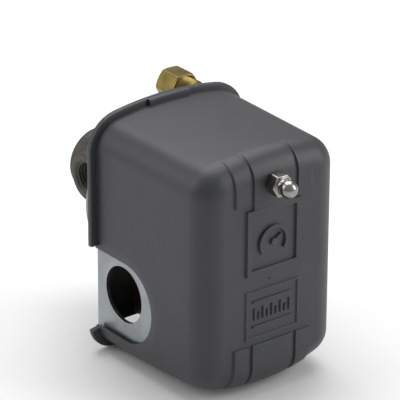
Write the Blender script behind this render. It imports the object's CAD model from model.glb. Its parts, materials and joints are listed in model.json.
import json
import math

import bmesh
import bpy
from mathutils import Matrix, Vector

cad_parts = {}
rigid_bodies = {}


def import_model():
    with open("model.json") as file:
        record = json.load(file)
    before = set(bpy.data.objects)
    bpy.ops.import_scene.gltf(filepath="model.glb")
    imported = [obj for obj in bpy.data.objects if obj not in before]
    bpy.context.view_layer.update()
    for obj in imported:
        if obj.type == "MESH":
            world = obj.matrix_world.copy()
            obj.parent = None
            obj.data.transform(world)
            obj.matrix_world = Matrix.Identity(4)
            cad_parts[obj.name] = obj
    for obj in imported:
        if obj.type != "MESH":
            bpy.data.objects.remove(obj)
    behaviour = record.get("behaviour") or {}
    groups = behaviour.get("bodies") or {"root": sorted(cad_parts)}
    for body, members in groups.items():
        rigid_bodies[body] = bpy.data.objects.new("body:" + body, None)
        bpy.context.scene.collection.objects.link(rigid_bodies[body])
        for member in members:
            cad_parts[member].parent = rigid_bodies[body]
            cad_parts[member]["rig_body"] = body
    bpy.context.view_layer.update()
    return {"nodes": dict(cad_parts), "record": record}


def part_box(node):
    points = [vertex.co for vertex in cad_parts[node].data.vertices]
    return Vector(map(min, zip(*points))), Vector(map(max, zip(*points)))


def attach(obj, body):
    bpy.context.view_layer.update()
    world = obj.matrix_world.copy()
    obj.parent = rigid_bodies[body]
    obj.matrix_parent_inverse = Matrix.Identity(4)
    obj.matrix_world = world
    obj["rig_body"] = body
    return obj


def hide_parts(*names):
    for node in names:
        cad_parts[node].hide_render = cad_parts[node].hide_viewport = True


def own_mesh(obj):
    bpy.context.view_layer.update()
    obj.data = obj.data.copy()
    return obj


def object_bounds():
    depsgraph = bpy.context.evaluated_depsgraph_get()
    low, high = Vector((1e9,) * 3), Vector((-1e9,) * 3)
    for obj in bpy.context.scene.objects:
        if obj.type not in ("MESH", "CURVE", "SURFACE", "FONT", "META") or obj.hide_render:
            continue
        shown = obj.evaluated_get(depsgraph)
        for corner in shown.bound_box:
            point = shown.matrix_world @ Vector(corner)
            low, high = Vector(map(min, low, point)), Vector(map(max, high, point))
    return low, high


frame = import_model()

# Every size of the object is in millimetres. The floor, lights and camera are placed in metres. Y is measured
# from the base plate's back face, the rest from the frame's own axes. "front" means the distance in front of
# the base plate, so y = -front.
MM = 0.001
PLATE_BACK = Vector((0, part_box("frame")[1].y / MM, 0))


def node_box(node):
    """Lowest and highest corner of a CAD node in millimetres."""
    low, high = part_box(node)
    return low / MM - PLATE_BACK, high / MM - PLATE_BACK


def node_centre(node):
    low, high = node_box(node)
    return (low + high) / 2


# ---------- mesh helpers ----------

SMOOTH_ANGLE = math.radians(50)
MERGE = 1e-7


def finish_mesh(obj):
    """Merges doubled points, turns the faces outwards, and shades smooth except at sharp edges."""
    mesh = obj.data
    work = bmesh.new()
    work.from_mesh(mesh)
    bmesh.ops.remove_doubles(work, verts=work.verts, dist=MERGE)
    bmesh.ops.recalc_face_normals(work, faces=work.faces)
    work.to_mesh(mesh)
    work.free()
    mesh.polygons.foreach_set("use_smooth", [True] * len(mesh.polygons))
    mesh.set_sharp_from_angle(angle=SMOOTH_ANGLE)
    return obj


def in_frame(x, y, z):
    """A point in the shared frame, in metres."""
    return (Vector((x, y, z)) + PLATE_BACK) * MM


def add_mesh(name, points, faces):
    mesh = bpy.data.meshes.new(name)
    mesh.from_pydata([in_frame(*point) for point in points], [], faces)
    obj = bpy.data.objects.new(name, mesh)
    bpy.context.scene.collection.objects.link(obj)
    return finish_mesh(obj)


def skin(rings, closed=False):
    """Points and faces over rings of equal length. Open ends are capped."""
    count = len(rings[0])
    points = [p for ring in rings for p in ring]
    faces = []
    for i in range(len(rings) if closed else len(rings) - 1):
        a = i * count
        b = (i + 1) % len(rings) * count
        for k in range(count):
            n = (k + 1) % count
            faces.append((a + k, a + n, b + n, b + k))
    if not closed:
        last = (len(rings) - 1) * count
        faces.append(tuple(range(count - 1, -1, -1)))
        faces.append(tuple(range(last, last + count)))
    return points, faces


def join(name, objects):
    """One object from several separate closed meshes."""
    work = bmesh.new()
    for obj in objects:
        work.from_mesh(obj.data)
        bpy.data.objects.remove(obj)
    mesh = bpy.data.meshes.new(name)
    work.to_mesh(mesh)
    work.free()
    joined = bpy.data.objects.new(name, mesh)
    bpy.context.scene.collection.objects.link(joined)
    return finish_mesh(joined)


def apply_modifiers(obj):
    depsgraph = bpy.context.evaluated_depsgraph_get()
    obj.data = bpy.data.meshes.new_from_object(obj.evaluated_get(depsgraph))
    obj.modifiers.clear()
    return finish_mesh(obj)


def combine(target, operation, *others):
    """Adds the other closed meshes to target, or cuts them from it."""
    for other in others:
        modifier = target.modifiers.new(operation, "BOOLEAN")
        modifier.operation = operation
        modifier.solver = "MANIFOLD"
        modifier.object = other
        apply_modifiers(target)
        bpy.data.objects.remove(other)
    return target


def place(axis, centre, along, u, v):
    """A point at distance along an axis through centre, and u and v across it."""
    x, y, z = centre
    if axis == "x":
        return along, y + u, z + v
    if axis == "z":
        return x + u, y + v, along
    return x + u, along, z + v


def turned(name, stations, axis="y", centre=(0, 0, 0), around=96, closed=False):
    """A part with a section at each station. A station is a place along the axis and a radius.
    The radius is a number or a function of the angle and the place along the axis."""
    rings = []
    for along, radius in stations:
        ring = []
        for k in range(around):
            a = math.tau * k / around
            r = radius(a, along) if callable(radius) else radius
            ring.append(place(axis, centre, along, r * math.cos(a), r * math.sin(a)))
        rings.append(ring)
    return add_mesh(name, *skin(rings, closed))


def spaced(low, high, spacing):
    """Evenly spaced values from low to high, both included."""
    steps = max(1, math.ceil(abs(high - low) / spacing))
    return [low + (high - low) * i / steps for i in range(steps + 1)]


CORNER_SHARPNESS = 60


def soft_min(a, b):
    """The smaller of two lengths, with the corner between them rounded."""
    return (a ** -CORNER_SHARPNESS + b ** -CORNER_SHARPNESS) ** (-1 / CORNER_SHARPNESS)


def smooth_step(t):
    t = min(1.0, max(0.0, t))
    return t * t * (3 - 2 * t)


# ---------- threads, nuts and springs ----------

HEX_SHARPNESS = 60
NUT_END_SHARE = 0.49
NUT_CHAMFER = math.radians(30)


def hexagon(flats, a):
    """Radius of a hexagon with slightly rounded corners, two of them on the first cross axis."""
    total = 0.0
    for k in range(6):
        facing = math.cos(a - math.pi / 6 - k * math.pi / 3)
        total += max(0.0, facing) ** HEX_SHARPNESS
    return flats / 2 / total ** (1 / HEX_SHARPNESS)


def nut_radius(flats, y_front, y_back):
    """Radius function of a hexagonal nut whose corners are turned off at both ends."""
    slope = 1 / math.tan(NUT_CHAMFER)

    def radius(a, y):
        r = soft_min(hexagon(flats, a), flats * NUT_END_SHARE + (y - y_front) * slope)
        return soft_min(r, flats * NUT_END_SHARE + (y_back - y) * slope)

    return radius


def nut_stations(flats, y_front, y_back):
    """Stations over a nut's outside, close together where the corners are turned off."""
    radius = nut_radius(flats, y_front, y_back)
    reach = 0.07 * flats
    spacing = 0.06
    places = spaced(y_front, y_front + reach, spacing)
    places += spaced(y_back - reach, y_back, spacing)
    return [(y, radius) for y in places]


def thread_radius(root, crest, pitch, y_start, y_end):
    """Radius function of a thread that runs out over most of a turn at each end."""
    runout = 0.8

    def radius(a, y):
        turn = (y / pitch + a / math.tau) % 1.0
        height = min(1.0, max(0.0, 2.4 * abs(turn - 0.5) - 0.1))
        fade = smooth_step(min(y - y_start, y_end - y) / (runout * pitch))
        return root + (crest - root) * height * fade

    return radius


def threaded(root, crest, pitch, y_start, y_end, per_turn=10):
    """Stations over a threaded length."""
    radius = thread_radius(root, crest, pitch, y_start, y_end)
    return [(y, radius) for y in spaced(y_start, y_end, pitch / per_turn)]


def plain_nut(name, node, flats, bore, pitch):
    """A hexagonal nut with a threaded bore, in the place of a CAD nut along Y."""
    low, high = node_box(node)
    centre = node_centre(node)
    outside = nut_stations(flats, low.y, high.y)
    countersink = 0.25
    lead = [(low.y, bore + countersink)]
    inside = [(y, r) for y, r in reversed(threaded(bore, bore + 0.12, pitch, low.y + 0.3, high.y - 0.3))]
    trail = [(high.y, bore + countersink)]
    stations = lead + outside + trail + inside
    return turned(name, stations, "y", (centre.x, 0, centre.z), 90, closed=True)


def spring(name, mean_r, wire_r, y_front, y_back, turns, centre):
    """A compression spring along Y with one closed turn at each end."""
    sides = 10
    per_turn = 30
    steps = turns * per_turn
    closed_share = 1 / turns
    rings = []
    body = (y_back - y_front) - 2 * wire_r
    closed_rise = min(2.05 * wire_r, body / turns)
    for i in range(steps + 1):
        t = i / steps
        a = math.tau * turns * t
        if t < closed_share:
            y = closed_rise * t / closed_share
        elif t > 1 - closed_share:
            y = body - closed_rise * (1 - t) / closed_share
        else:
            y = closed_rise + (body - 2 * closed_rise) * (t - closed_share) / (1 - 2 * closed_share)
        ring = []
        for k in range(sides):
            b = math.tau * k / sides
            r = mean_r + wire_r * math.cos(b)
            ring.append((
                centre[0] + r * math.cos(a),
                y_front + wire_r + y + wire_r * math.sin(b),
                centre[2] + r * math.sin(a)))
        rings.append(ring)
    return add_mesh(name, *skin(rings))


# ---------- materials ----------

def paint(name, base, shade, metallic, rough, spread, cloud, grain, depth,
          edge=0.15, worn=None, stretch=(1, 1, 1), coat=0.0):
    """A procedural material. base and shade are the two colours that a cloud of the given size mixes.
    spread varies the roughness, grain and depth are the size and height of the surface texture,
    edge is the softening radius of edges and worn is the colour that edges have rubbed to."""
    material = bpy.data.materials.new(name)
    material.use_nodes = True
    nodes = material.node_tree.nodes
    links = material.node_tree.links
    shader = nodes["Principled BSDF"]
    shader.inputs["Metallic"].default_value = metallic
    shader.inputs["Coat Weight"].default_value = coat
    shader.inputs["Coat Roughness"].default_value = 0.15
    where = nodes.new("ShaderNodeTexCoord")

    def noise(size, detail, squeeze=(1, 1, 1)):
        mapping = nodes.new("ShaderNodeMapping")
        mapping.inputs["Scale"].default_value = [s / (size * MM) for s in squeeze]
        links.new(where.outputs["Object"], mapping.inputs["Vector"])
        texture = nodes.new("ShaderNodeTexNoise")
        texture.inputs["Scale"].default_value = 1.0
        texture.inputs["Detail"].default_value = detail
        links.new(mapping.outputs["Vector"], texture.inputs["Vector"])
        return texture.outputs["Fac"]

    def between(value, low, high, start=0.3, end=0.7):
        """Maps a noise value from start..end to low..high."""
        remap = nodes.new("ShaderNodeMapRange")
        remap.inputs["From Min"].default_value = start
        remap.inputs["From Max"].default_value = end
        remap.inputs["To Min"].default_value = low
        remap.inputs["To Max"].default_value = high
        links.new(value, remap.inputs["Value"])
        return remap.outputs["Result"]

    def mixed(factor, first, second):
        mix = nodes.new("ShaderNodeMix")
        mix.data_type = "RGBA"
        links.new(factor, mix.inputs["Factor"])
        for socket, colour in ((mix.inputs["A"], first), (mix.inputs["B"], second)):
            if isinstance(colour, tuple):
                socket.default_value = (*colour, 1)
            else:
                links.new(colour, socket)
        return mix.outputs["Result"]

    clouds = noise(cloud, 3)
    texture = noise(grain, 4, stretch)
    colour = mixed(between(clouds, 0, 1), base, shade)
    rounded = nodes.new("ShaderNodeBevel")
    rounded.samples = 4
    rounded.inputs["Radius"].default_value = edge * MM
    if worn:
        facing = nodes.new("ShaderNodeNewGeometry")
        dot = nodes.new("ShaderNodeVectorMath")
        dot.operation = "DOT_PRODUCT"
        links.new(rounded.outputs["Normal"], dot.inputs[0])
        links.new(facing.outputs["Normal"], dot.inputs[1])
        colour = mixed(between(dot.outputs["Value"], 0.8, 0, 0.86, 0.985), colour, worn)
    links.new(colour, shader.inputs["Base Color"])
    links.new(between(texture, rough - spread, rough + spread), shader.inputs["Roughness"])
    bump = nodes.new("ShaderNodeBump")
    bump.inputs["Strength"].default_value = 1.0
    bump.inputs["Distance"].default_value = depth * MM
    links.new(texture, bump.inputs["Height"])
    links.new(rounded.outputs["Normal"], bump.inputs["Normal"])
    links.new(bump.outputs["Normal"], shader.inputs["Normal"])
    return material


# One entry for each material slot of the record.
FINISHES = {
    "cover_plastic": dict(
        base=(0.034, 0.035, 0.039), shade=(0.029, 0.030, 0.034), metallic=0, rough=0.46, spread=0.05,
        cloud=14, grain=0.35, depth=0.006, edge=0.25),
    "bright_nickel": dict(
        base=(0.34, 0.335, 0.325), shade=(0.25, 0.245, 0.24), metallic=1, rough=0.19, spread=0.05,
        cloud=3, grain=0.6, depth=0.002, edge=0.12, worn=(0.6, 0.59, 0.58)),
    "zinc_steel": dict(
        base=(0.36, 0.385, 0.40), shade=(0.27, 0.29, 0.305), metallic=0.95, rough=0.33, spread=0.07,
        cloud=9, grain=1.0, depth=0.004, edge=0.2, worn=(0.62, 0.64, 0.65), stretch=(1, 1, 5)),
    "green_screw": dict(
        base=(0.05, 0.22, 0.10), shade=(0.03, 0.14, 0.07), metallic=0.7, rough=0.32, spread=0.06,
        cloud=2, grain=0.5, depth=0.003, edge=0.15, worn=(0.35, 0.45, 0.36)),
    "die_cast": dict(
        base=(0.34, 0.34, 0.33), shade=(0.24, 0.24, 0.23), metallic=0.8, rough=0.48, spread=0.08,
        cloud=8, grain=0.7, depth=0.02, edge=0.3, worn=(0.5, 0.5, 0.49)),
    "screw_steel": dict(
        base=(0.52, 0.54, 0.55), shade=(0.40, 0.41, 0.41), metallic=1, rough=0.3, spread=0.07,
        cloud=3, grain=0.4, depth=0.003, edge=0.12, worn=(0.75, 0.76, 0.77)),
    "rubber": dict(
        base=(0.022, 0.022, 0.023), shade=(0.032, 0.032, 0.033), metallic=0, rough=0.72, spread=0.08,
        cloud=5, grain=0.5, depth=0.01, edge=0.2),
    "cast_iron": dict(
        base=(0.080, 0.073, 0.064), shade=(0.042, 0.038, 0.033), metallic=0.45, rough=0.52, spread=0.1,
        cloud=4, grain=0.8, depth=0.06, edge=0.3, worn=(0.2, 0.19, 0.175)),
    "tin_brass": dict(
        base=(0.55, 0.52, 0.44), shade=(0.42, 0.39, 0.32), metallic=1, rough=0.28, spread=0.06,
        cloud=4, grain=0.5, depth=0.003, edge=0.15, worn=(0.7, 0.66, 0.55)),
    "spring_steel": dict(
        base=(0.26, 0.27, 0.28), shade=(0.18, 0.185, 0.19), metallic=1, rough=0.3, spread=0.06,
        cloud=3, grain=0.5, depth=0.003, edge=0.05),
    "phenolic": dict(
        base=(0.045, 0.022, 0.014), shade=(0.028, 0.014, 0.010), metallic=0, rough=0.4, spread=0.08,
        cloud=2, grain=0.3, depth=0.008, edge=0.2, coat=0.15),
    "brass": dict(
        base=(0.27, 0.20, 0.058), shade=(0.16, 0.12, 0.040), metallic=0.95, rough=0.32, spread=0.08,
        cloud=5, grain=0.5, depth=0.005, edge=0.12, worn=(0.50, 0.39, 0.13), stretch=(1, 4, 1)),
    "silver": dict(
        base=(0.78, 0.78, 0.76), shade=(0.6, 0.6, 0.58), metallic=1, rough=0.3, spread=0.05,
        cloud=1, grain=0.3, depth=0.003, edge=0.1, worn=(0.9, 0.9, 0.88)),
    "black_plastic": dict(
        base=(0.02, 0.02, 0.023), shade=(0.03, 0.03, 0.034), metallic=0, rough=0.4, spread=0.06,
        cloud=4, grain=0.3, depth=0.006, edge=0.2),
}
MATERIALS = {slot: paint(slot, **finish) for slot, finish in FINISHES.items()}
SLOT_OF = {part["node"]: part["material_slot"] for part in frame["record"]["subparts"]}
BODY_OF = {node: obj["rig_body"] for node, obj in frame["nodes"].items()}


def stand_for(obj, node):
    """obj replaces a CAD node, on the node's body and in its material."""
    obj.data.materials.clear()
    obj.data.materials.append(MATERIALS[SLOT_OF[node]])
    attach(obj, BODY_OF[node])
    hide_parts(node)
    return obj


# ---------- cover ----------

cover_low, cover_high = node_box("cover")
LIP_REACH = 2.7
LIP_CROWN_REACH = 2.4
LIP_DROP_REACH = 1.3
BADGE_RISE = 1.0
PANEL_RISE = 0.6
PAD_RISE = 0.8
COVER_DEPTH = -cover_low.y - BADGE_RISE
COVER_HALF_W = cover_high.x - LIP_REACH
COVER_TOP = cover_high.z - LIP_CROWN_REACH
COVER_DROP = -cover_low.z - LIP_DROP_REACH
COVER_BACK = -cover_high.y
COVER_WALL = 1.6
EDGE_R = 9.5
CROWN_R = 134
SHOULDER_R = 11
LOWER_CORNER_R = 10
FLAT_R = 5000
SIDE_TAPER = 1.6
CROWN_TAPER = 0.3
FRONT_BOW = 4.4
BOW_POWER = 2.5
BOW_HALF_SPAN = 24

# Raised pads and frames on the cover's front: half width or side strip, and heights.
MID_PAD = 9.25
SIDE_PAD = (10.8, 17.5)
UPPER_PAD_END = 22.7
LOWER_PAD_END = -33.8
BADGE_HALF_W = 12.3
BADGE_Z = (-5.7, 20.3)
BADGE_BAR = 2.15
PANEL_Z = (-31.4, -11.9)
PANEL_BAR = 1.0
STEP = 0.4
STEP_LINES = [k * STEP / 8 for k in range(-5, 6)]

# Grid columns run over the whole middle strip, and grid rows over the straight part of the sides.
COLUMN_END = 19
ROW_LOW = -38.4
ROW_HIGH = 26.6
ARC_STEPS = 12
BRIDGE_STEPS = 3


def grid_lines(edges, low, high, spacing):
    """Grid lines from low to high: a close group at each edge, and fill between the groups."""
    close = sorted({round(e + offset, 3) for e in edges for offset in STEP_LINES} | {low, high})
    lines = []
    for a, b in zip(close, close[1:]):
        lines += spaced(a, b, spacing)[:-1]
    return lines + [high]


def bow_radius(t):
    """Radius of the cover's underside across its width: flat at the lip, bowed at the front."""
    return min(FLAT_R, BOW_HALF_SPAN ** 2 / 2 / (FRONT_BOW * max(0.0, t) ** BOW_POWER + 0.01))


def outline(half_w, top, drop, shoulder, corner, bow, columns, rows):
    """A housing outline in X and Z: bowed bottom, straight sides, round shoulders, low arched crown."""
    low_x = half_w - corner
    low_lean = math.asin(low_x / (bow - corner))
    low_z = bow - drop - (bow - corner) * math.cos(low_lean)
    high_x = half_w - shoulder
    high_lean = math.asin(high_x / (CROWN_R - shoulder))
    high_z = top - CROWN_R + (CROWN_R - shoulder) * math.cos(high_lean)

    def underside(x):
        return x, bow - drop - math.sqrt(bow ** 2 - x ** 2)

    def crown(x):
        return x, top - CROWN_R + math.sqrt(CROWN_R ** 2 - x ** 2)

    def arc(cx, cz, r, start, end):
        angles = [start + (end - start) * i / ARC_STEPS for i in range(ARC_STEPS + 1)]
        return [(cx + r * math.cos(a), cz + r * math.sin(a)) for a in angles]

    def bridge(curve, end_x):
        return [curve(COLUMN_END + (end_x - COLUMN_END) * i / BRIDGE_STEPS) for i in range(1, BRIDGE_STEPS)]

    side = bridge(underside, bow * math.sin(low_lean))
    side += arc(low_x, low_z, corner, low_lean - math.pi / 2, 0)
    side += [(half_w, z) for z in rows]
    side += arc(high_x, high_z, shoulder, 0, math.pi / 2 - high_lean)
    side += reversed(bridge(crown, CROWN_R * math.sin(high_lean)))
    left = [(-x, z) for x, z in reversed(side)]
    return [underside(x) for x in columns] + side + [crown(x) for x in reversed(columns)] + left


def cover_outline(front, inset, columns, rows):
    t = (front - COVER_BACK) / (COVER_DEPTH - COVER_BACK)
    return outline(
        COVER_HALF_W - SIDE_TAPER * t - inset,
        COVER_TOP - CROWN_TAPER * t - inset,
        COVER_DROP - inset,
        SHOULDER_R - inset,
        LOWER_CORNER_R - inset,
        bow_radius(t) - inset,
        columns, rows)


def share_inside(distance):
    """0 outside a raised shape, 1 inside it, with a steep rounded step between."""
    return smooth_step(distance / STEP + 0.5)


def rise_at(x, z):
    """Height of the pads and frames above the cover's front form."""
    across = abs(x)

    def rectangle(x_low, x_high, z_low, z_high):
        return share_inside(min(across - x_low, x_high - across, z - z_low, z_high - z))

    def raised_frame(z_low, z_high, bar):
        outer = rectangle(-1, BADGE_HALF_W, z_low, z_high)
        inner = rectangle(-1, BADGE_HALF_W - bar, z_low + bar, z_high - bar)
        return min(outer, 1 - inner)

    far = 100
    pads = max(
        rectangle(-1, MID_PAD, BADGE_Z[1] - BADGE_BAR, far),
        rectangle(-1, MID_PAD, -far, LOWER_PAD_END),
        rectangle(*SIDE_PAD, UPPER_PAD_END, far),
        rectangle(*SIDE_PAD, -far, LOWER_PAD_END))
    return max(
        pads * PAD_RISE,
        raised_frame(*BADGE_Z, BADGE_BAR) * BADGE_RISE,
        raised_frame(*PANEL_Z, PANEL_BAR) * PANEL_RISE)


def front_cap(ring, columns, start):
    """Fills the flat front inside the last ring with a grid. Its lines run straight across the feature rows.
    Returns new points and faces. start is the index of the ring's first point."""
    q = BRIDGE_STEPS - 1 + ARC_STEPS // 2
    count = len(ring)
    wide = len(columns)
    chain = (count - 2 * wide) // 2
    right = list(range(wide + q, wide + chain - q))
    left = [count - 1 - q - i for i in range(len(right))]
    bottom = [(left[0] + i) % count for i in range(wide + 2 * q + 2)]
    top = [left[-1] - i for i in range(len(bottom))]
    index = {}
    for i in range(len(bottom)):
        index[0, i] = start + bottom[i]
        index[len(right) - 1, i] = start + top[i]
    for j in range(len(right)):
        index[j, 0] = start + left[j]
        index[j, len(bottom) - 1] = start + right[j]
    low_rows = LOWER_PAD_END - STEP
    high_rows = UPPER_PAD_END + STEP
    z_first = ring[right[0]][2]
    z_last = ring[right[-1]][2]
    points = []
    for j in range(1, len(right) - 1):
        side_x, y, side_z = ring[right[j]]
        up = (side_z - z_first) / (z_last - z_first)
        low_share = max(0.0, (low_rows - side_z) / (low_rows - z_first))
        high_share = max(0.0, (side_z - high_rows) / (z_last - high_rows))
        edge_x = ring[bottom[-1]][0] * (1 - up) + ring[top[-1]][0] * up
        for i in range(1, len(bottom) - 1):
            below = ring[bottom[i]]
            above = ring[top[i]]
            x = below[0] * (1 - up) + above[0] * up
            x += math.copysign((side_x - edge_x) * (abs(x) / edge_x) ** 8, x)
            z = side_z + low_share * (below[2] - z_first) + high_share * (above[2] - z_last)
            index[j, i] = start + count + len(points)
            points.append((x, y, z))
    faces = []
    for j in range(len(right) - 1):
        for i in range(len(bottom) - 1):
            faces.append((index[j, i], index[j, i + 1], index[j + 1, i + 1], index[j + 1, i]))
    return points, faces


def cover_form(name, wall, first, columns, rows, fillet_steps, raised):
    """The cover's closed form, or its hollow when wall is the wall's thickness."""
    radius = EDGE_R - wall
    stations = [(front, wall) for front in spaced(first, COVER_DEPTH - EDGE_R, 2.6)[:-1]]
    for i in range(fillet_steps + 1):
        a = math.pi / 2 * i / fillet_steps
        stations.append((COVER_DEPTH - EDGE_R + radius * math.sin(a), wall + radius * (1 - math.cos(a))))
    rings = []
    for front, inset in stations:
        rings.append([(x, -front, z) for x, z in cover_outline(front, inset, columns, rows)])
    points, faces = skin(rings)
    faces.pop()
    extra, cap = front_cap(rings[-1], columns, len(points) - len(rings[-1]))
    points = points + extra
    if raised:
        fade_start = COVER_DEPTH - EDGE_R - 6
        points = [(x, y - rise_at(x, z) * smooth_step((-y - fade_start) / 5), z) for x, y, z in points]
    return add_mesh(name, points, faces + cap)


def sweep(name, path, profile):
    """A closed bar along a path in X and Z. profile(i) gives (outward, y) points at path point i."""
    rings = []
    for i, (x, z) in enumerate(path):
        ax, az = path[max(0, i - 1)]
        bx, bz = path[min(len(path) - 1, i + 1)]
        length = math.hypot(bx - ax, bz - az)
        nx, nz = (bz - az) / length, -(bx - ax) / length
        rings.append([(x + nx * out, y, z + nz * out) for out, y in profile(i)])
    return add_mesh(name, *skin(rings))


LIP_T = 2.2
LIP_PAD_HALF_W = 9.3
LIP_PAD_T = 1.4
LIP_NOTCH = (-45.2, -10.8)


def lip_band(name, path, wall, y_front, y_back):
    """One length of the cover's lip, rooted inside the wall."""
    soft = 0.35

    def profile(i):
        reach = min(math.hypot(path[i][0] - x, path[i][1] - z) for x, z in wall)
        root = -reach - 0.8
        return [(root, y_back), (-soft, y_back), (-0.3 * soft, y_back - 0.3 * soft), (0, y_back - soft),
                (0, y_front + soft), (-0.3 * soft, y_front + 0.3 * soft), (-soft, y_front), (root, y_front)]

    return sweep(name, path, profile)


def lips(columns):
    """The upper and the lower length of lip, and the thicker pad in the upper one's middle."""
    half_w = COVER_HALF_W + LIP_REACH
    rows = spaced(-44, 24, 2)
    ring = outline(half_w, COVER_TOP + LIP_CROWN_REACH, COVER_DROP + LIP_DROP_REACH, 14.5, LOWER_CORNER_R,
                   FLAT_R, columns, rows)
    wall = cover_outline(COVER_BACK, 0, columns, rows)
    y_back = -COVER_BACK
    y_front = y_back - LIP_T
    upper = [p for p in ring if p[1] > LIP_NOTCH[1] + 0.2]
    upper = [(half_w, LIP_NOTCH[1])] + upper + [(-half_w, LIP_NOTCH[1])]
    middle = len(columns) // 2
    turned_ring = ring[middle:] + ring[:middle]
    lower_right = [p for p in turned_ring[:len(ring) // 2] if p[1] < LIP_NOTCH[0]]
    lower_left = [p for p in turned_ring[len(ring) // 2:] if p[1] < LIP_NOTCH[0]]
    pad = [p for p in upper if abs(p[0]) < LIP_PAD_HALF_W and p[1] > 0]
    return [
        lip_band("lip_upper", upper, wall, y_front, y_back),
        lip_band("lip_lower", lower_left + lower_right, wall, y_front, y_back),
        lip_band("lip_pad", pad, wall, y_front - LIP_PAD_T, y_back - 0.4)]


# Depth to which a mark is rooted in the cover, and the length over which its ends slope off.
MARK_ROOT = 0.5
MARK_END = 0.12


def ridge(name, path, width, rise):
    """A small raised mark on the cover's front face, with soft edges."""
    soft = min(0.18, width * 0.3)
    cut = 0.3 * soft
    base = -COVER_DEPTH
    root = base + MARK_ROOT

    def profile(i):
        end = i in (0, len(path) - 1)
        half = width / 2 - (MARK_END if end else 0)
        top = base - rise * (0.7 if end else 1)
        return [(-half, root), (half, root), (half, top + soft), (half - cut, top + cut),
                (half - soft, top), (soft - half, top), (cut - half, top + cut), (-half, top + soft)]

    return sweep(name, path, profile)


def bar(name, x0, z0, x1, z1, width, rise):
    """A straight mark from one point to another."""
    length = math.hypot(x1 - x0, z1 - z0)
    shares = [0, MARK_END / length, 1 - MARK_END / length, 1]
    return ridge(name, [(x0 + (x1 - x0) * s, z0 + (z1 - z0) * s) for s in shares], width, rise)


def cover_marks():
    """A plain pressure dial in the badge, and two bars with a row of ticks in the panel."""
    gauge_z = 5.6
    gauge_r = 5.95
    gauge_bar = 1.3
    start = math.radians(-37)
    steps = 60
    angles = [start + (math.pi - 2 * start) * i / steps for i in range(steps + 1)]
    dial_path = [(gauge_r * math.cos(a), gauge_z + gauge_r * math.sin(a)) for a in angles]
    dial = ridge("dial", dial_path, gauge_bar, BADGE_RISE)
    lean = math.radians(35)
    pointer_l = 4.2
    tip_x = pointer_l * math.cos(lean)
    tip_z = gauge_z + pointer_l * math.sin(lean)
    pointer = bar("pointer", 0, gauge_z, tip_x, tip_z, 1.0, BADGE_RISE)
    front = -COVER_DEPTH
    hub_stations = [(front + MARK_ROOT, gauge_bar), (front - 0.8, gauge_bar)]
    hub_stations += [(front - 0.95, 1.22), (front - 1.0, 1.05)]
    hub = turned("hub", hub_stations, "y", (0, 0, gauge_z), 48)
    middle = sum(PANEL_Z) / 2
    marks = [bar("bar", -9, middle + z, 9, middle + z, 0.8, PANEL_RISE) for z in (-5.0, 5.0)]
    for i in range(-4, 5):
        height = 3 if i % 2 else 4.8
        marks.append(bar("tick", 2 * i, middle - 2.4, 2 * i, middle - 2.4 + height, 0.7, PANEL_RISE))
    dot_stations = [(front + MARK_ROOT, 0.45), (front - 0.2, 0.45), (front - 0.35, 0.3)]
    dot = turned("dot", dot_stations, "y", (-1, 0, -9), 24)
    return [join("marks", [dial, hub, dot] + marks), pointer]


SLOT_FRONT = 19.5
SLOT_Z = -28.8
SLOT_R = 16
BORDER_R = 20
BORDER_DEPTH = 0.7


def side_cutter(name, side, layers):
    """A slot open to the back, cut into one side of the cover. layers are (depth below the side, radius)."""
    rings = []
    for depth, radius in layers:
        arc_points = [(SLOT_FRONT + radius * math.cos(a), SLOT_Z + radius * math.sin(a))
                      for a in [math.pi * (i / 64 - 0.5) for i in range(65)]]
        shape = [(-1, SLOT_Z - radius)] + arc_points + [(-1, SLOT_Z + radius)]
        ring = []
        for front, z in shape:
            wall = COVER_HALF_W - SIDE_TAPER * (front - COVER_BACK) / (COVER_DEPTH - COVER_BACK)
            ring.append((side * (wall - depth), -front, z))
        rings.append(ring)
    return add_mesh(name, *skin(rings))


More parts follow.
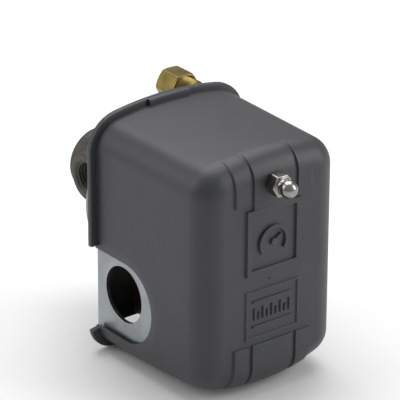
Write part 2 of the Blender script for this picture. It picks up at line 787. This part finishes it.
def build_cover():
    edges_x = [MID_PAD, *SIDE_PAD, BADGE_HALF_W, BADGE_HALF_W - BADGE_BAR, BADGE_HALF_W - PANEL_BAR]
    edges_z = [UPPER_PAD_END, LOWER_PAD_END, *BADGE_Z, BADGE_Z[0] + BADGE_BAR, BADGE_Z[1] - BADGE_BAR,
               *PANEL_Z, PANEL_Z[0] + PANEL_BAR, PANEL_Z[1] - PANEL_BAR]
    half = grid_lines(edges_x, 0, COLUMN_END, 1.1)
    columns = [-x for x in reversed(half[1:])] + half
    rows = grid_lines(edges_z, ROW_LOW, ROW_HIGH, 1.2)
    cover = cover_form("cover_moulding", 0, COVER_BACK, columns, rows, 16, raised=True)
    plain_columns = spaced(-COLUMN_END, COLUMN_END, 2)
    plain_rows = spaced(ROW_LOW, ROW_HIGH, 2.2)
    hollow = cover_form("hollow", COVER_WALL, COVER_BACK - 1, plain_columns, plain_rows, 12, raised=False)
    floor = BORDER_DEPTH
    border = [(floor, BORDER_R - 0.5), (floor - 0.06, BORDER_R - 0.2), (0.4, BORDER_R), (0, BORDER_R + 0.1),
              (-1.2, BORDER_R + 0.2)]
    through = [(7, SLOT_R), (floor + 0.3, SLOT_R), (floor + 0.12, SLOT_R + 0.05), (floor, SLOT_R + 0.25),
               (floor - 0.15, SLOT_R + 0.6), (-6, SLOT_R + 0.7)]
    combine(cover, "DIFFERENCE", *[side_cutter("border", side, border) for side in (-1, 1)])
    combine(cover, "UNION", *lips(columns))
    combine(cover, "DIFFERENCE", hollow)
    combine(cover, "UNION", *cover_marks())
    combine(cover, "DIFFERENCE", *[side_cutter("slot", side, through) for side in (-1, 1)])
    stud = node_centre("range_stud")
    hole_r = 2.58
    hole_back = -60
    face = -COVER_DEPTH - PAD_RISE
    hole = [(-COVER_DEPTH - 3, 3.1), (face, 2.75), (face + 0.2, hole_r), (hole_back, hole_r)]
    combine(cover, "DIFFERENCE", turned("stud_hole", hole, "y", (stud.x, 0, stud.z), 48))
    return stand_for(cover, "cover")


build_cover()


# ---------- acorn nut ----------

def build_acorn_nut():
    low, high = node_box("acorn_nut")
    centre = node_centre("acorn_nut")
    flats = 8
    hex_t = 4.8
    neck_r = 3.05
    dome_r = 3.35
    bore_r = 2.13
    dome_y = low.y + dome_r
    hex_front = high.y - hex_t
    join_y = dome_y + math.sqrt(dome_r ** 2 - (neck_r + 0.03) ** 2)
    outside = nut_stations(flats, hex_front, high.y)
    stations = [(dome_y + 1, bore_r), (high.y, bore_r)]
    stations += reversed(outside)
    stations += [(hex_front, neck_r + 0.35), (hex_front - 0.1, neck_r + 0.1), (hex_front - 0.35, neck_r)]
    stations += [(join_y + 0.15, neck_r)]
    start = math.asin((join_y - dome_y) / dome_r)
    steps = 36
    for i in range(steps + 1):
        a = start + (-math.pi / 2 - start) * i / steps
        stations.append((dome_y + dome_r * math.sin(a), max(0.01, dome_r * math.cos(a))))
    return stand_for(turned("acorn_cap_nut", stations, "y", (centre.x, 0, centre.z), 108), "acorn_nut")


build_acorn_nut()


# ---------- manifold ----------

VOXEL = 0.45


def build_manifold():
    low, high = node_box("manifold")
    body_r = 13.2
    boss_r = 9.8
    port_y = 29
    port_r = 5.7
    reach = high.x
    soft = 1.0
    steps = 6

    def rounded_end(end, r, inward):
        """Stations that round the rim at one end of a bar. inward is +1 or -1, away from the end."""
        angles = [math.pi / 2 * (1 - i / steps) for i in range(steps + 1)]
        return [(end + inward * soft * (1 - math.sin(a)), r - soft * (1 - math.cos(a))) for a in angles]

    body_stations = [(low.y, body_r)] + list(reversed(rounded_end(high.y, body_r, -1)))
    body = turned("manifold_casting", body_stations, "y")
    left_to_right = rounded_end(-reach, boss_r, 1) + list(reversed(rounded_end(reach, boss_r, -1)))
    cross = turned("cross", left_to_right, "x", (0, port_y, 0))
    leg = turned("leg", rounded_end(-reach, boss_r, 1) + [(0, boss_r)], "z", (0, port_y, 0))
    combine(body, "UNION", cross, leg)
    remesh = body.modifiers.new("cast", "REMESH")
    remesh.mode = "VOXEL"
    remesh.voxel_size = VOXEL * MM
    soften = body.modifiers.new("soften", "SMOOTH")
    soften.factor = 0.6
    soften.iterations = 9
    apply_modifiers(body)
    depth = 8
    pitch = 1.41
    mouth_r = 6.85
    gallery_r = 3
    gallery_end = reach - 6
    socket = [(low.y - 1, 6.85), (17, 6.85)]

    def port(axis, end, inward, centre):
        cut = [(end - inward, mouth_r + 1), (end, mouth_r), (end + inward * 0.9, port_r + 0.4)]
        inner = thread_radius(port_r, port_r + 0.62, pitch, -1000, 1000)
        places = spaced(end + inward * 0.9, end + inward * depth, pitch / 12)
        return turned("port", cut + [(p, inner) for p in places], axis, centre, 72)

    cutters = [
        port("x", -reach, 1, (0, port_y, 0)),
        port("x", reach, -1, (0, port_y, 0)),
        port("z", -reach, 1, (0, port_y, 0)),
        port("y", high.y, -1, (0, 0, 0)),
        turned("gallery_y", [(low.y - 1, gallery_r), (high.y - 6, gallery_r)], "y", around=40),
        turned("gallery_x", [(-gallery_end, gallery_r), (gallery_end, gallery_r)], "x", (0, port_y, 0), 40),
        turned("gallery_z", [(-gallery_end, gallery_r), (0, gallery_r)], "z", (0, port_y, 0), 40),
        turned("socket", socket, "y", around=64)]
    combine(body, "DIFFERENCE", *cutters)
    return stand_for(body, "manifold")


build_manifold()


# ---------- unloader valve ----------

def build_valve():
    low, high = node_box("valve_body")
    centre = node_centre("valve_body")
    axis = (centre.x, 0, centre.z)
    hex_flats = 11
    hex_front = 0.02
    hex_back = 6.5
    stub_r = 2.6
    neck_r = 4.6
    thread_start = 9
    thread_root = 4.85
    thread_crest = 5.5
    pitch = 1.058
    tube_r = 3.2
    tube_seat = 16
    orifice_r = 1.2
    chamber_r = 2.3
    chamber_start = 6
    chamber_end = 13.5
    pin_bore_r = 1.05
    step = 0.02
    outer = [(low.y, stub_r - 0.2), (low.y + 0.2, stub_r), (hex_front, stub_r)]
    outer += nut_stations(hex_flats, hex_front, hex_back)
    outer += [(hex_back + step, neck_r + 0.1), (hex_back + 0.3, neck_r), (thread_start, neck_r)]
    outer += threaded(thread_root, thread_crest, pitch, thread_start, high.y, 12)
    outer += [(high.y, 4.4)]
    inner = [(high.y, tube_r), (tube_seat, tube_r), (tube_seat - step, orifice_r), (chamber_end, orifice_r)]
    inner += [(chamber_end - step, chamber_r), (chamber_start, chamber_r)]
    inner += [(chamber_start - step, pin_bore_r), (low.y, pin_bore_r)]
    body = turned("valve_body_turned", outer + inner, "y", axis, 108, closed=True)
    stand_for(body, "valve_body")
    nut_low, nut_high = node_box("compression_nut")
    flats = 12.2
    outside = nut_stations(flats, nut_low.y, nut_high.y)
    bore_r = 5.55
    web = nut_high.y - 2.6
    inside = [(nut_high.y, tube_r + 0.35), (nut_high.y - 0.3, tube_r), (web, tube_r), (web - step, bore_r),
              (nut_low.y + 0.6, bore_r), (nut_low.y, bore_r + 0.35)]
    nut = turned("compression_nut_milled", outside + inside, "y", axis, 108, closed=True)
    stand_for(nut, "compression_nut")
    spring_low, spring_high = node_box("valve_spring")
    stand_for(spring("valve_coil", 1.6, 0.25, spring_low.y, spring_high.y, 5, axis), "valve_spring")


build_valve()


# ---------- studs, nuts and springs of the range and differential adjustment ----------

STUD_PITCH = 0.79375


def build_stud(name, node, y_thread):
    """A stud along Y with a clinched head at its back and a threaded front."""
    low, high = node_box(node)
    centre = node_centre(node)
    crest = 2.08
    root = 1.72
    head_r = high.x - centre.x
    head_front = -3.1
    head_back = -1.62
    soft = 0.15
    stations = [(low.y, root - 0.35), (low.y + 0.35, root)]
    stations += threaded(root, crest, STUD_PITCH, low.y + 0.35, y_thread, 8)
    stations += [(y_thread + 0.4, crest), (head_front, crest), (head_front, head_r - soft)]
    stations += [(head_front + soft, head_r), (head_back - 0.18, head_r), (head_back, head_r - soft)]
    stations += [(head_back, crest), (high.y - 0.2, crest), (high.y, crest - 0.2)]
    return stand_for(turned(name, stations, "y", (centre.x, 0, centre.z), 32), node)


build_stud("range_stud_threaded", "range_stud", -22)
build_stud("differential_stud_threaded", "differential_stud", -20)
stand_for(plain_nut("range_nut_milled", "range_nut", 9.5, 2.13, STUD_PITCH), "range_nut")
stand_for(plain_nut("differential_nut_milled", "differential_nut", 8, 2.13, STUD_PITCH), "differential_nut")


def build_coil(name, node, wire_r, turns):
    """A spring in a CAD spring's place that shortens towards anchor_y as a joint moves."""
    low, high = node_box(node)
    mean_r = (high.x - low.x) / 2 - wire_r
    centre = node_centre(node)
    coil = spring(name, mean_r, wire_r, low.y, high.y, turns, (centre.x, 0, centre.z))
    stand_for(coil, node)
    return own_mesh(coil)


def build_nut_coil(name, node, wire_r, turns):
    """A spring between the lever and a nut that moves back by NUT_TRAVEL."""
    return build_coil(name, node, wire_r, turns)


build_nut_coil("range_coil", "range_spring", 1.0, 8)
build_nut_coil("differential_coil", "differential_spring", 0.6, 9)
# Both ends of the toggle spring move as the lever swings, so it shortens towards a point outside it.
build_coil("toggle_coil", "toggle_spring", 0.35, 8)


# ---------- CAD nodes that keep their own mesh ----------

EDGE_WIDTH = 0.12
for node, obj in frame["nodes"].items():
    if obj.hide_render:
        continue
    if "custom_normal" in obj.data.attributes:
        obj.data.attributes.remove(obj.data.attributes["custom_normal"])
    obj.data.materials.clear()
    obj.data.materials.append(MATERIALS[SLOT_OF[node]])
    obj.data.polygons.foreach_set("use_smooth", [True] * len(obj.data.polygons))
    weld = obj.modifiers.new("weld", "WELD")
    weld.merge_threshold = 2e-6
    bevel = obj.modifiers.new("edges", "BEVEL")
    bevel.limit_method = "ANGLE"
    bevel.angle_limit = math.radians(32)
    bevel.width = EDGE_WIDTH * MM
    bevel.segments = 2
    bevel.harden_normals = True


# ---------- floor, light and camera ----------

def add_floor():
    """A wide pale floor just below the object. Its size and gap are in metres."""
    size = 8.0
    gap = 0.0004
    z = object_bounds()[0].z - gap
    corners = [(-size, -size), (size, -size), (size, size), (-size, size)]
    mesh = bpy.data.meshes.new("floor")
    mesh.from_pydata([(x, y, z) for x, y in corners], [], [(0, 1, 2, 3)])
    floor = bpy.data.objects.new("floor", mesh)
    bpy.context.scene.collection.objects.link(floor)
    floor.data.materials.append(paint(
        "pale_floor", base=(0.83, 0.83, 0.83), shade=(0.81, 0.81, 0.81), metallic=0, rough=0.7, spread=0.05,
        cloud=400, grain=20, depth=0.01, edge=0.01))


def add_light(name, azimuth, elevation, distance, width, height, power):
    """A soft box aimed at the object. Azimuth 0 is in front of the cover and 90 to its right."""
    data = bpy.data.lights.new(name, "AREA")
    data.shape = "RECTANGLE"
    data.size = width
    data.size_y = height
    data.energy = power
    light = bpy.data.objects.new(name, data)
    bpy.context.scene.collection.objects.link(light)
    a = math.radians(azimuth)
    e = math.radians(elevation)
    back = Vector((math.sin(a) * math.cos(e), -math.cos(a) * math.cos(e), math.sin(e)))
    light.location = in_frame(0, -20, 0) + back * distance
    light.rotation_mode = "QUATERNION"
    light.rotation_quaternion = back.to_track_quat("Z", "Y")


def add_camera():
    """A long lens, left of the cover's front and above it. centre shifts the aim in the picture."""
    azimuth = math.radians(-37.9)
    elevation = math.radians(25.35)
    roll = math.radians(0.43)
    distance = 1.07
    aim = in_frame(0, -37, -5.6)
    image = 400
    focal = 2904.7
    sensor = 36
    centre = Vector((21.4, 40.4))
    back = Vector((math.sin(azimuth) * math.cos(elevation), -math.cos(azimuth) * math.cos(elevation),
                   math.sin(elevation)))
    right = Vector((math.cos(azimuth), math.sin(azimuth), 0))
    up = back.cross(right)
    rolled_right = right * math.cos(roll) + up * math.sin(roll)
    rolled_up = up * math.cos(roll) - right * math.sin(roll)
    look = (-back - rolled_right * (centre.x / focal) + rolled_up * (centre.y / focal)).normalized()
    side = look.cross(rolled_up).normalized()
    top = side.cross(look)
    data = bpy.data.cameras.new("camera")
    data.sensor_width = sensor
    data.lens = sensor * focal / image
    data.clip_start = 0.01
    data.clip_end = 50
    camera = bpy.data.objects.new("camera", data)
    bpy.context.scene.collection.objects.link(camera)
    turn = Matrix((side, top, -look)).transposed()
    camera.matrix_world = Matrix.Translation(aim + back * distance) @ turn.to_4x4()
    bpy.context.scene.camera = camera


add_floor()
add_light("overhead", 150, 68, 0.9, 0.9, 0.9, 7.8)
add_light("left_box", -122, 28, 0.9, 0.6, 0.7, 2.5)
add_light("right_box", 45, 25, 0.9, 0.5, 0.7, 4.0)
add_camera()

world = bpy.data.worlds.new("studio")
world.use_nodes = True
world.node_tree.nodes["Background"].inputs["Color"].default_value = (1, 1, 1, 1)
world.node_tree.nodes["Background"].inputs["Strength"].default_value = 0.4
bpy.context.scene.world = world
bpy.context.scene.view_settings.view_transform = "Standard"
